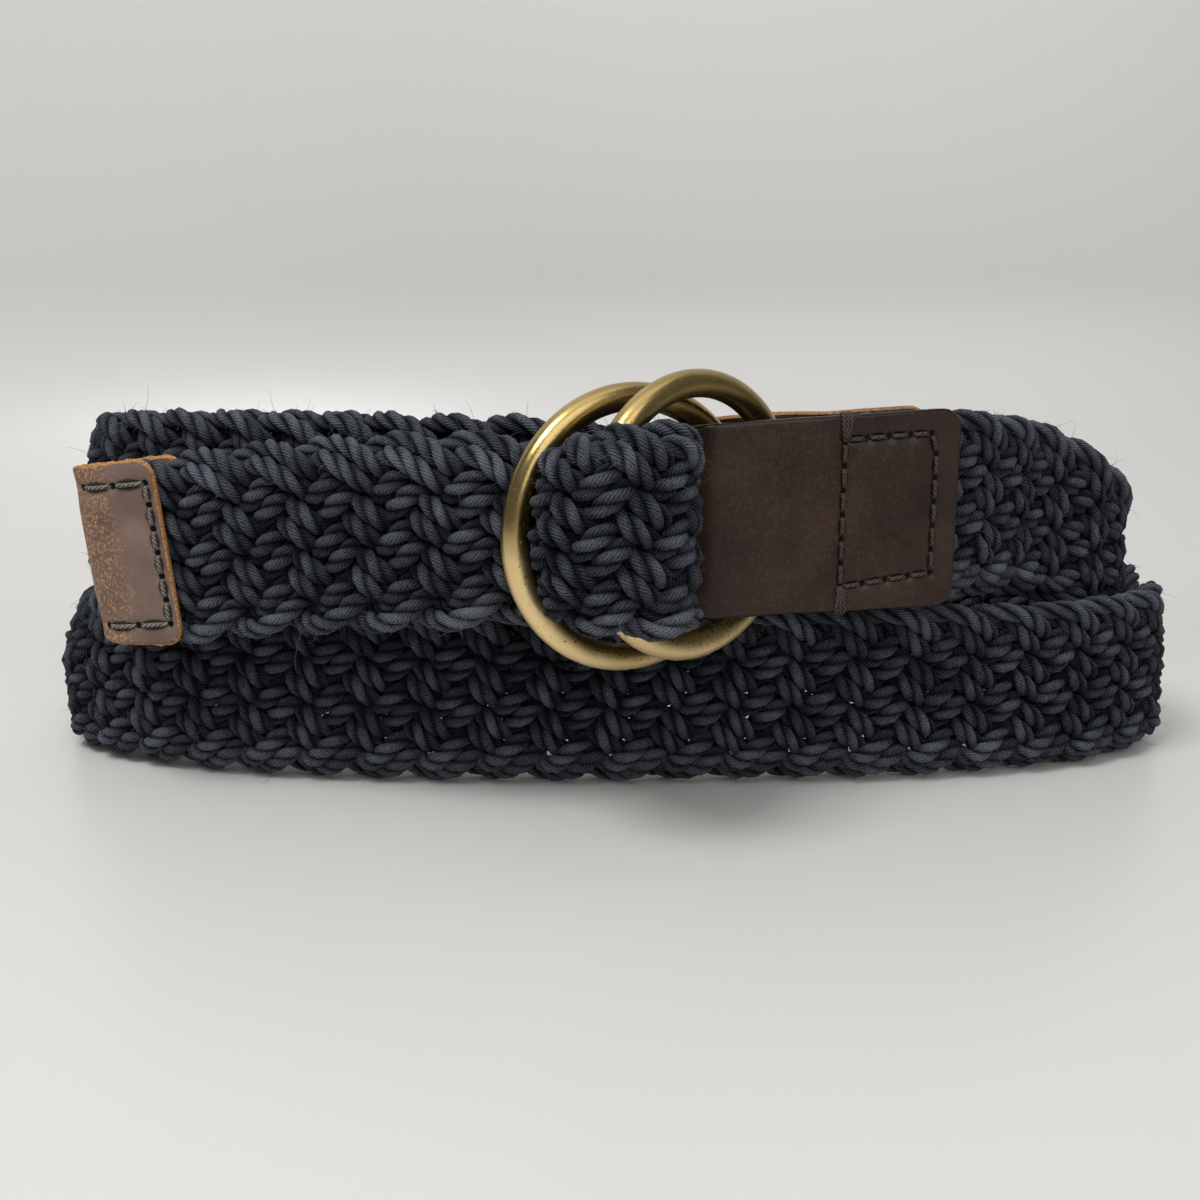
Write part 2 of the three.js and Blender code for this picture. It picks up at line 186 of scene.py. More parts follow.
class Route:
    """A centripetal Catmull-Rom line through points, read by the length run along it, with the
    shape of the strap (cup, width and lean) passing smoothly from row to row."""

    def __init__(self, points, shapes=None):
        points = np.array(points, float)
        samplesPerRow = 24
        ends = [2 * points[0] - points[1]], [2 * points[-1] - points[-2]]
        padded = np.concatenate([ends[0], points, ends[1]])
        share = np.arange(samplesPerRow)[:, None] / samplesPerRow
        smooth = share * share * (3 - 2 * share)
        lines, forms = [], []
        names = list(flatShape)
        rows = [{**flatShape, **shape} for shape in shapes or [{}] * len(points)]
        values = np.array([[row[name] for name in names] for row in rows], float)
        for i in range(len(points) - 1):
            a, b, c, d = padded[i:i + 4]
            before, here, after = (
                float(np.sum((p - q) ** 2)) ** 0.25 for p, q in ((a, b), (b, c), (c, d))
            )
            leave = ((b - a) / before - (c - a) / (before + here) + (c - b) / here) * here
            reach = ((c - b) / here - (d - b) / (here + after) + (d - c) / after) * here
            square = -3 * b + 3 * c - 2 * leave - reach
            cube = 2 * b - 2 * c + leave + reach
            lines.append(b + leave * share + square * share**2 + cube * share**3)
            forms.append(values[i] * (1 - smooth) + values[i + 1] * smooth)
        self.place = np.concatenate([*lines, points[-1:]])
        self.shape = dict(zip(names, np.concatenate([*forms, values[-1:]]).T))
        self.place[:, 2] = np.maximum(self.place[:, 2], self.shape["width"] * strap["width"] / 2)
        steps = np.linalg.norm(np.diff(self.place, axis=0), axis=1)
        self.run = np.concatenate([[0], np.cumsum(steps)])
        self.length = self.run[-1]

    def placeAt(self, run):
        """The place after a run, straight between the two nearest samples."""
        return np.stack([np.interp(run, self.run, self.place[:, i]) for i in range(3)], -1)

    def formAt(self, run, name):
        """A named value of the strap's shape after a run."""
        return np.interp(run, self.run, self.shape[name])[..., None]

    def headingAt(self, run):
        """The level direction of travel, from the places just before and after."""
        reach = 0.6
        run = np.clip(run, 0, self.length)
        along = self.placeAt(np.minimum(run + reach, self.length))
        along = along - self.placeAt(np.maximum(run - reach, 0))
        along[..., 2] = 0
        return along / np.linalg.norm(along, axis=-1, keepdims=True)

    def sideAt(self, run):
        """The level direction to the right of travel: the heading turned by a quarter."""
        heading = self.headingAt(run)
        return np.stack([heading[..., 1], -heading[..., 0], 0 * heading[..., 0]], -1)


def strapStops():
    """Every point that the strap goes through, each with its shape."""
    stops = [(frontPoint(row), {}) for row in startRoute]
    shaped = (coilRoute, coilPoint), (approachRoute, frontPoint), (loopRoute, loopPoint)
    for rows, point in (*shaped, (freeRoute, frontPoint)):
        stops += [(point(row), {name: row[name] for name in flatShape if name in row}) for row in rows]
    return stops


stops = strapStops()
route = Route([place for place, _ in stops], [shape for _, shape in stops])

# The CAD model moved the belt over the origin, and the outer ring tells by how much.
ringLow, ringHigh = (np.array(corner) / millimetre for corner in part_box("ring_outer"))
beltShift = (ringLow + ringHigh) / 2 - ringFrame(outerRing)[0]
print(f"scene: route of {route.length:.0f} mm, moved by {beltShift.round(2)}")


def onStrap(run, height, out):
    """A point on the strap: along its run, up its width and out of its middle layer. The edges are
    cupped and bow inwards by the square of the height, the width is squeezed, the upright leans."""
    share = (height / strap["width"])[..., None]
    up = height[..., None] * route.formAt(run, "width")
    cup = (2 * share) ** 2 * strap["width"]
    point = route.placeAt(run) + up * np.array([0, 0, 1])
    point = point + cup * route.formAt(run, "right") * np.array([1, 0, 0])
    point = point + cup * route.formAt(run, "back") * np.array([0, 1, 0])
    point = point + up * route.formAt(run, "lean") * route.headingAt(run)
    bow = np.where(share > 0, route.formAt(run, "top"), route.formAt(run, "foot"))
    return point + (out[..., None] - cup * bow) * route.sideAt(run)


def unit(vector):
    """A vector, or many, at length one."""
    return vector / np.maximum(np.linalg.norm(vector, axis=-1, keepdims=True), 1e-9)


def meshOf(name, points, faces, values=None, spread=None):
    """A mesh object from points in millimetres and faces of four corners. values are named numbers
    of each point, and spread is the place of each face corner on the flat."""
    mesh = bpy.data.meshes.new(name)
    corners = faces.reshape(-1)
    mesh.vertices.add(len(points))
    mesh.vertices.foreach_set("co", ((points + beltShift) * millimetre).astype(np.float32).ravel())
    mesh.loops.add(len(corners))
    mesh.loops.foreach_set("vertex_index", corners.astype(np.int32))
    mesh.polygons.add(len(faces))
    mesh.polygons.foreach_set("loop_start", np.arange(0, len(corners), 4, dtype=np.int32))
    mesh.polygons.foreach_set("use_smooth", np.ones(len(faces), bool))
    mesh.update(calc_edges=True)
    for label, numbers in (values or {}).items():
        layer = mesh.attributes.new(label, "FLOAT", "POINT")
        layer.data.foreach_set("value", numbers.astype(np.float32).ravel())
    if spread is not None:
        mesh.uv_layers.new(name="spread").data.foreach_set("uv", spread.astype(np.float32).ravel())
    mesh.validate()
    piece = bpy.data.objects.new(name, mesh)
    bpy.context.collection.objects.link(piece)
    return piece


def tubes(lines, radius, sides, upright):
    """Closed round tubes along lines of points: each ring stands square to its line, its first
    corner along upright. Returns points, faces and each face corner's place round and along."""
    count, steps = lines.shape[:2]
    ahead = unit(np.gradient(lines, axis=1))
    first = unit(np.cross(upright, ahead))
    second = np.cross(ahead, first)
    angles = np.arange(sides) / sides * 2 * math.pi
    circle = first[:, :, None] * np.cos(angles)[:, None] + second[:, :, None] * np.sin(angles)[:, None]
    points = lines[:, :, None] + circle * radius[..., None, None]
    number = np.arange(count * steps * sides).reshape(count, steps, sides)
    after = np.roll(number, -1, axis=2)
    faces = np.stack([number[:, :-1], after[:, :-1], after[:, 1:], number[:, 1:]], -1)
    lengths = np.linalg.norm(np.diff(lines, axis=1), axis=-1)
    along = np.concatenate([np.zeros((count, 1)), np.cumsum(lengths, axis=1)], axis=1)
    shape = (count, steps - 1, sides)
    left = np.broadcast_to(np.arange(sides) / sides, shape)
    right = left + 1 / sides
    low, high = (np.broadcast_to(part[..., None], shape) for part in (along[:, :-1], along[:, 1:]))
    spread = np.stack([left, low, right, low, right, high, left, high], -1).reshape(-1, 4, 2)
    caps = []
    for k in range(sides // 2 - 1):
        a, b, c, d = k, k + 1, sides - 2 - k, sides - 1 - k
        caps.append(np.stack([number[:, 0, i] for i in (a, d, c, b)], -1))
        caps.append(np.stack([number[:, -1, i] for i in (a, b, c, d)], -1))
    caps = np.concatenate(caps)
    faces = np.concatenate([faces.reshape(-1, 4), caps])
    spread = np.concatenate([spread, np.zeros((len(caps), 4, 2))])
    return points.reshape(-1, 3), faces, spread


def place(piece, nodes, slot, material):
    """Puts a finished piece in the row: its body, the CAD nodes it stands for, and its look. slot is not
    used.
    """
    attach(piece, "root")
    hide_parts(*nodes)
    piece.data.materials.append(material)
    return piece


def softly(values, window):
    """A repeating row of values, blurred by a raised cosine of that many samples."""
    weights = 1 - np.cos(np.linspace(0, 2 * math.pi, window + 2)[1:-1])
    weights /= weights.sum()
    half = window // 2
    padded = np.concatenate([values[-half:], values, values[:half]])
    return np.convolve(padded, weights, "same")[half:-half]


def drift(run, reach, amount):
    """Slow seeded unevenness: random values every reach of the run, joined smoothly."""
    knots = np.arange(run.min() - reach, run.max() + 2 * reach, reach)
    values = chance.normal(0, amount, len(knots))
    share = (run - knots[0]) / reach
    low = np.floor(share).astype(int)
    part = share - low
    part = part * part * (3 - 2 * part)
    return values[low] * (1 - part) + values[low + 1] * part


class Wire:
    """A value in a node tree. Sums with it add the nodes that work them out."""

    def __init__(self, paint, socket):
        self.paint, self.socket = paint, socket

    def maths(self, operation, *others):
        return self.paint.node("ShaderNodeMath", dict(operation=operation), self, *others)

    def __add__(self, other):
        return self.maths("ADD", other)

    def __sub__(self, other):
        return self.maths("SUBTRACT", other)

    def __rsub__(self, other):
        return self.paint.value(other).maths("SUBTRACT", self)

    def __mul__(self, other):
        return self.maths("MULTIPLY", other)

    def __truediv__(self, other):
        return self.maths("DIVIDE", other)

    __radd__, __rmul__ = __add__, __mul__

    def between(self, low, high):
        """0 up to low, 1 from high, and a smooth climb between them."""
        shape = dict(interpolation_type="SMOOTHSTEP")
        return self.paint.node("ShaderNodeMapRange", shape, self, low, high, 0.0, 1.0)


class Paint:
    """A material of one Principled shader, whose node tree is written as plain sums."""

    def __init__(self, name, constants):
        self.material = bpy.data.materials.new(name)
        self.material.use_nodes = True
        self.tree = self.material.node_tree
        self.shader = self.tree.nodes["Principled BSDF"]
        for label, value in constants.items():
            self.shader.inputs[label].default_value = value

    def node(self, kind, settings, *inputs, out=0):
        """Adds a node with its settings, and joins or sets its inputs in order; None leaves one."""
        node = self.tree.nodes.new(kind)
        for label, value in settings.items():
            setattr(node, label, value)
        for socket, value in zip(node.inputs, inputs):
            if isinstance(value, Wire):
                self.tree.links.new(value.socket, socket)
            elif value is not None:
                socket.default_value = value
        return Wire(self, node.outputs[out])

    def value(self, number):
        wire = self.node("ShaderNodeValue", {})
        wire.socket.default_value = number
        return wire

    def attribute(self, label):
        return self.node("ShaderNodeAttribute", dict(attribute_name=label), out=2)

    def spread(self):
        """The two places on the flat: round a tube, and along it in millimetres."""
        flat = self.node("ShaderNodeUVMap", dict(uv_map="spread"))
        parts = self.tree.nodes.new("ShaderNodeSeparateXYZ")
        self.tree.links.new(flat.socket, parts.inputs[0])
        return Wire(self, parts.outputs[0]), Wire(self, parts.outputs[1])

    def noise(self, scale, detail=2.0, roughness=0.5):
        """Noise over the object, scale in turns a metre."""
        where = self.node("ShaderNodeTexCoord", {}, out=3)
        return self.node("ShaderNodeTexNoise", {}, where, None, scale, detail, roughness)

    def blend(self, share, first, second):
        """A colour between two, by a share from 0 to 1."""
        mix = self.tree.nodes.new("ShaderNodeMix")
        mix.data_type = "RGBA"
        for socket, value in zip((mix.inputs[0], mix.inputs[6], mix.inputs[7]), (share, first, second)):
            if isinstance(value, Wire):
                self.tree.links.new(value.socket, socket)
            else:
                socket.default_value = value if isinstance(value, float) else (*value, 1)
        return Wire(self, mix.outputs[2])

    def feed(self, label, wire):
        self.tree.links.new(wire.socket, self.shader.inputs[label])

    def bump(self, height, distance, strength=1.0):
        """Raises the look of the surface by height times distance, in metres."""
        bump = self.tree.nodes.new("ShaderNodeBump")
        bump.inputs["Strength"].default_value = strength
        bump.inputs["Distance"].default_value = distance
        self.tree.links.new(height.socket, bump.inputs["Height"])
        self.tree.links.new(bump.outputs[0], self.shader.inputs["Normal"])


# The braid: a flat plait of seven strands, over one and under one, each of two ropes of three
# plies. A strand moves up one slot a step, waits a step at the edge and comes back. The free end
# is stretched, so its steps are longer.
braid = dict(
    strands=7, slot=4.46, peak=0.16, step=5.55, freeStep=6.05, freeLength=90, lift=1.78,
    ropeGap=1.72, roll=48, samples=64, steepen=0.30, plyRadius=0.96, plyTurn=0.93, lay=9.6,
    spacing=0.93, sides=8, phase=0.0,
)


def braidPlan():
    """One round of a strand, step by step: its slot, how far it is over, and how near an edge."""
    time = np.arange(14 * braid["samples"]) / braid["samples"]
    peak = braid["peak"]
    slot = np.interp(time, [0, 6, 6.5, 7, 13, 13.5, 14], [0, 6, 6 + peak, 6, 0, -peak, 0]) - 3
    crossing = np.interp(time, [-1.5, 0.5, 5.5, 7.5, 12.5, 14.5], [-1, 0, 5, 6, 11, 12])
    edge = np.maximum(0, 1 - np.abs(time - 6.5)) + np.maximum(0, 1 - np.abs(time - 13.5))
    edge += np.maximum(0, 1 - np.abs(time + 0.5))
    wave = np.cos(math.pi * crossing)
    over = np.sign(wave) * np.abs(wave) ** 0.75
    rising = np.where(time % 14 < 7, 1, -1) * (np.abs(time % 7 - 3) < 2.6)
    slot += rising * braid["steepen"] * np.sin(2 * math.pi * crossing) / (2 * math.pi)
    window = int(0.9 * braid["samples"])
    return softly(slot, window), softly(over, window // 3), softly(edge, window)


def cottonPaint():
    """Dark navy cotton: fine yarn lines wind round each ply, and what stands out is paler, partly with
    wear and partly as painted light; the crevices hold painted shade. light is 1 on the outer side of
    a ply and 0 in the crevices."""
    paint = Paint("cotton", {
        "Roughness": 0.95, "Specular IOR Level": 0.06, "Sheen Weight": 0.05, "Sheen Roughness": 0.5,
        "Sheen Tint": (0.75, 0.82, 1.0, 1.0),
    })
    around, along = paint.spread()
    fuzz = paint.noise(2600.0, 3.0, 0.65)
    patch = paint.noise(60.0, 2.0)
    fleck = paint.noise(7000.0, 2.0, 0.6)
    yarn = ((along * 1.5 + around * 9.0) * (2 * math.pi) + fuzz * 3.6).maths("SINE")
    light = paint.attribute("light")
    # Painted light and shade, with some wear: dark in the crevices, pale where a ply stands out, broken up by
    # fibre noise.
    shade_and_age = light * (fuzz * 1.3 + fleck * 1.0 + yarn * 0.20 + patch * 0.6 - 0.5)
    paint.feed("Base Color", paint.blend(
        shade_and_age.between(0.16, 1.36), (0.0012, 0.0021, 0.0046), (0.122, 0.131, 0.155)))
    paint.bump(yarn * 0.35 + fuzz * 0.9 + fleck * 0.4, 0.00022)
    return paint.material


cotton = cottonPaint()
slotPlan, overPlan, edgePlan = braidPlan()


def stepsAt(run):
    """How many braid steps lie before a run: fewer for each millimetre of the free end."""
    bend = route.length - braid["freeLength"]
    before = np.minimum(run, bend) / braid["step"]
    return before + np.maximum(run - bend, 0) / braid["freeStep"]


def strandLines(strand):
    """The middle lines of a strand's six plies and of the ropes they wind round. The strand's own
    line comes from the plan; each rope lies to one side of it and rolls over at the edges; each
    ply winds round its rope. Outness is 1 where a ply lies on the outside of the strap."""
    margin = 0.9
    count = int((route.length - 2 * margin) / braid["spacing"])
    run = np.linspace(margin, route.length - margin, count)
    time = stepsAt(run) + braid["phase"] + 2 * strand
    index = (time % 14) * braid["samples"]
    knots = np.arange(14 * braid["samples"] + 1)
    slot, over, edge = (
        np.interp(index, knots, np.append(plan, plan[0])) for plan in (slotPlan, overPlan, edgePlan)
    )
    middle = np.stack([
        run,
        slot * braid["slot"] + drift(run, 16, 0.12),
        over * braid["lift"] + drift(run, 16, 0.08),
    ], -1)
    ahead = unit(np.gradient(middle, axis=0))
    outward = unit(np.cross([0, 0, 1], ahead))
    upper = np.cross(ahead, outward)
    roll = np.radians(braid["roll"]) * np.clip(edge * 1.3, 0, 1)
    length = np.concatenate([[0], np.cumsum(np.linalg.norm(np.diff(middle, axis=0), axis=1))])
    lines, ropes, outness = [], [], []
    for sign in (1, -1):
        toSide = outward * np.cos(roll)[:, None] + upper * np.sin(roll)[:, None]
        rope = middle + sign * braid["ropeGap"] * toSide
        start = chance.uniform(0, 2 * math.pi)
        wander = drift(run, 45, 0.35)
        for ply in range(3):
            turn = 2 * math.pi * (length / braid["lay"] + ply / 3) + start + wander
            reach = braid["plyTurn"] * (1 + drift(run, 9, 0.03))
            wind = outward * np.cos(turn)[:, None] + upper * np.sin(turn)[:, None] * 0.95
            line = rope + wind * reach[:, None]
            lines.append(onStrap(line[:, 0], line[:, 1], line[:, 2]))
            ropes.append(onStrap(rope[:, 0], rope[:, 1], rope[:, 2]))
            outness.append(np.clip(np.maximum(np.abs(line[:, 2]) / 3.0, np.abs(line[:, 1]) / 17), 0, 1))
    return run, np.array(lines), np.array(ropes), np.array(outness), over


def strandPiece(strand):
    """One strand as six closed tubes, with painted shade: paler where they stand out of their rope and
    of the strap, darker in the crevices between plies. Returns some of its outer points that no
    leather covers, with the way out of the rope there."""
    run, lines, ropes, outness, over = strandLines(strand)
    swell = 0.94 + 0.09 * over**2
    radius = braid["plyRadius"] * swell * (1 + np.array([drift(run, 6, 0.035) for _ in lines]))
    upright = route.sideAt(run)[None] * np.ones((len(lines), 1, 1))
    points, faces, spread = tubes(lines, radius, braid["sides"], upright)
    away = points.reshape(*lines.shape[:2], braid["sides"], 3) - ropes[:, :, None]
    reach = np.linalg.norm(away, axis=-1) / (braid["plyTurn"] + braid["plyRadius"])
    tone = np.array([chance.uniform(0.8, 1.15) + drift(run, 14, 0.10) for _ in lines])
    # Painted shade in the colour: 0 where a ply faces into its rope, low deep in the strap, high on its outer
    # side.
    light = np.clip((reach - 0.45) / 0.5, 0, 1) * (0.25 + 0.75 * outness**2 * tone)[..., None]
    piece = meshOf(f"strand_{strand + 1}", points, faces, dict(light=light), spread)
    place(piece, ["braided_strap"], "cotton", cotton)
    bare = (run > tab["grip"] + 3) & (run < route.length - tip["grip"] - 3)
    standing = np.argwhere((light > 0.8) & bare[None, :, None])
    where = tuple(standing[chance.integers(0, len(standing), 380)].T)
    return points.reshape(away.shape)[where], unit(away[where])


def fuzzPiece(roots, outward):
    """Short loose fibres: each leaves its root outwards, bends by a seeded direction and tapers."""
    count = len(roots)
    length = chance.gamma(2.2, 0.62, count)[:, None]
    drag = unit(chance.normal(0, 1, (count, 3)))
    curl = unit(chance.normal(0, 1, (count, 3)))
    steps = np.linspace(0, 1, 4)[None, :, None]
    lines = roots[:, None] - 0.1 * outward[:, None]
    lines = lines + outward[:, None] * (length * 0.75)[:, None] * np.sin(steps * 1.7)
    lines = lines + (drag * length * 0.6)[:, None] * steps + (curl * length * 0.4)[:, None] * steps**2
    lines[..., 2] = np.maximum(lines[..., 2], 0.1)
    radius = np.full((count, 1), 0.034) * np.linspace(1, 0.5, 4)
    upright = np.broadcast_to(unit(curl + 0.3)[:, None], lines.shape)
    points, faces, _ = tubes(lines, radius, 4, upright)
    piece = meshOf("fuzz", points, faces, dict(light=np.ones(len(points))), None)
    return place(piece, ["braided_strap"], "cotton", cotton)


fuzz = [strandPiece(strand) for strand in range(braid["strands"])]
fuzzPiece(*(np.concatenate(part) for part in zip(*fuzz)))
print("scene: strands braided")


def brassPaint():
    """Worn antique brass: olive and smooth above, pale, satin and pitted below, brown in the bore. Above
    and below differ partly by rubbed wear and partly by painted reflection, and the brown bore is
    partly patina and partly a painted reflection of the dark strap. bore is 1 on the inner side of
    the wire, and low is 1 at the ring's lowest part."""
    paint = Paint("brass", {"Metallic": 1.0})
    fine = paint.noise(900.0, 3.0)
    broad = paint.noise(60.0, 3.0)
    pits = paint.noise(2600.0, 2.0)
    bore = paint.attribute("bore")
    low = paint.attribute("low")
    # Painted reflection mixed with wear: the lower part is paler, rubbed and lit from the table below; the
    # bore is darker, with patina and a painted reflection of the dark strap it faces.
    rubbed_and_lit = (low + broad * 0.30 - 0.17).between(0.40, 0.54)
    shade_and_age = (bore * 1.1 + broad * 0.5 - 0.35).between(0.1, 0.8)
    speck = (pits + bore * 0.22).between(0.74, 0.80)
    skin = paint.blend(rubbed_and_lit, (0.40, 0.285, 0.110), (0.86, 0.66, 0.34))
    skin = paint.blend(shade_and_age, skin, (0.19, 0.135, 0.050))
    paint.feed("Base Color", paint.blend(speck * rubbed_and_lit, skin, (0.05, 0.03, 0.012)))
    paint.feed("Roughness", fine * 0.10 + rubbed_and_lit * 0.20 + shade_and_age * 0.12 + 0.20)
    paint.bump(fine * 0.2 + broad * 0.6 + pits * rubbed_and_lit * 0.5 - speck * 0.6, 0.00008)
    return paint.material


brass = brassPaint()
ringDetail = dict(around=144, wire=28)


def ringPiece(name, row):
    """A round wire ring, upright and turned to the left. bore is 1 on its inner side, and low is 1
    at its lowest part."""
    centre, across = ringFrame(row)
    around = np.arange(ringDetail["around"]) / ringDetail["around"] * 2 * math.pi
    wire = np.arange(ringDetail["wire"]) / ringDetail["wire"] * 2 * math.pi
    front = np.array([across[1], -across[0], 0])
    spoke = np.cos(around)[:, None] * across + np.sin(around)[:, None] * np.array([0, 0, 1])
    distance = wireRadius + ring["wire"] / 2 * np.cos(wire)
    points = centre + spoke[:, None] * distance[:, None]
    points = points + front * (ring["wire"] / 2 * np.sin(wire))[:, None]
    number = np.arange(len(around) * len(wire)).reshape(len(around), len(wire))
    along, over = np.roll(number, -1, axis=0), np.roll(number, -1, axis=1)
    faces = np.stack([number, over, np.roll(over, -1, axis=0), along], -1).reshape(-1, 4)[:, ::-1]
    bore = np.broadcast_to(0.5 - 0.5 * np.cos(wire), number.shape)
    low = np.broadcast_to((0.5 - 0.5 * np.sin(around))[:, None], number.shape)
    piece = meshOf(name, points.reshape(-1, 3), faces, dict(bore=bore, low=low))
    return place(piece, [name.replace("brass_", "")], "brass", brass)


ringPiece("brass_ring_outer", outerRing)
ringPiece("brass_ring_inner", innerRing)
print("scene: rings made")


def leatherPaint(name, look, seams):
    """Leather of two tones, with veins of its pale core near the fold, a burnished edge and a raw
    cut one. Painted shade: each hole is dark within an oval, and each stitch lies in a dark lens of
    a slit."""
    paint = Paint(name, {"Specular IOR Level": look["gloss"]})
    fine = paint.noise(look["grain"], 4.0, 0.6)
    broad = paint.noise(110.0, 3.0)
    fibre = paint.noise(2400.0, 3.0, 0.7)
    run, height = paint.spread()
    hole, slit = paint.value(9.0), paint.value(9.0)
    for start, end, count in seams:
        step = (np.array(end) - np.array(start)) / (count - 1)
        pitch = float(np.hypot(*step))
        aside, above = run - start[0], height - start[1]
        turns = (aside * step[0] + above * step[1]) / pitch**2
        near = turns.maths("ROUND").maths("MAXIMUM", 0.0).maths("MINIMUM", count - 1.0)
        across = (aside - near * step[0]) / look["hole"][0]
        along = (above - near * step[1]) / look["hole"][1]
        hole = hole.maths("MINIMUM", (across * across + along * along).maths("SQRT"))
        between = turns.maths("MAXIMUM", 0.0).maths("MINIMUM", count - 1.0)
        lens = (between * math.pi).maths("SINE").maths("ABSOLUTE") * look["slit"] + 0.05
        across, along = aside - between * step[0], above - between * step[1]
        away = (across * across + along * along).maths("SQRT")
        slit = slit.maths("MINIMUM", away / lens)
    ragged = fibre * 0.5 - 0.25
    # Painted shade: black within each hole's oval and darker in a lens along each slit, where the recesses
    # would lie in shade.
    dark = 1 - (hole + ragged).between(0.75, 1.05)
    shade = 1 - (slit + ragged).between(0.7, 1.2)
    rim = paint.attribute("rim")
    face = (broad * 1.0 + fine * 0.25 + fibre * 0.15 - 0.2).between(0.05, 0.95)
    face = paint.blend(face, look["dark"], look["pale"])
    fold = (run + broad * 6.0).between(look["veinsFrom"], look["veinsFrom"] + 7.0)
    veins = fold * (fine + fibre * 0.5).between(0.74, 0.92) * look["veins"]
    face = paint.blend(veins, face, look["core"])
    raw = paint.blend(fibre.between(0.3, 0.75), tuple(0.3 * part for part in look["core"]), look["core"])
    cut = (rim + fibre * 0.3).between(look["rawFrom"], look["rawFrom"] + 0.2)
    burnished = rim.between(0.02, 0.2) * (1 - cut)
    shown = paint.blend(burnished * 0.7, face, tuple(part * 0.2 for part in look["dark"]))
    shown = paint.blend(cut, shown, raw)
    # The painted shade of the slits, then of the holes.
    shown = paint.blend(shade * 0.8, shown, tuple(part * 0.12 for part in look["dark"]))
    paint.feed("Base Color", paint.blend(dark, shown, (0.002, 0.0015, 0.001)))
    rough = fine * 0.22 + look["rough"] - burnished * 0.2 + cut * 0.3
    paint.feed("Roughness", rough + dark * 0.4 + shade * 0.3)
    paint.bump(fine * 0.4 + broad * 0.7 + fibre * (cut + veins * 0.5) - dark * 2.0 - shade * 0.6, 0.00012)
    return paint.material


def threadPaint(name, dark, pale):
    """Waxed thread of twisted fibres, a little lighter than the leather."""
    paint = Paint(name, {"Roughness": 0.7, "Specular IOR Level": 0.3})
    around, along = paint.spread()
    fibre = paint.noise(3000.0, 2.0)
    twist = ((along * 1.1 + around * 3.0) * (2 * math.pi) + fibre * 2.0).maths("SINE")
    light = (twist * 0.3 + fibre * 0.8).between(0.0, 1.0)
    paint.feed("Base Color", paint.blend(light, dark, pale))
    paint.bump(twist * 0.6 + fibre * 0.5, 0.00012)
    return paint.material


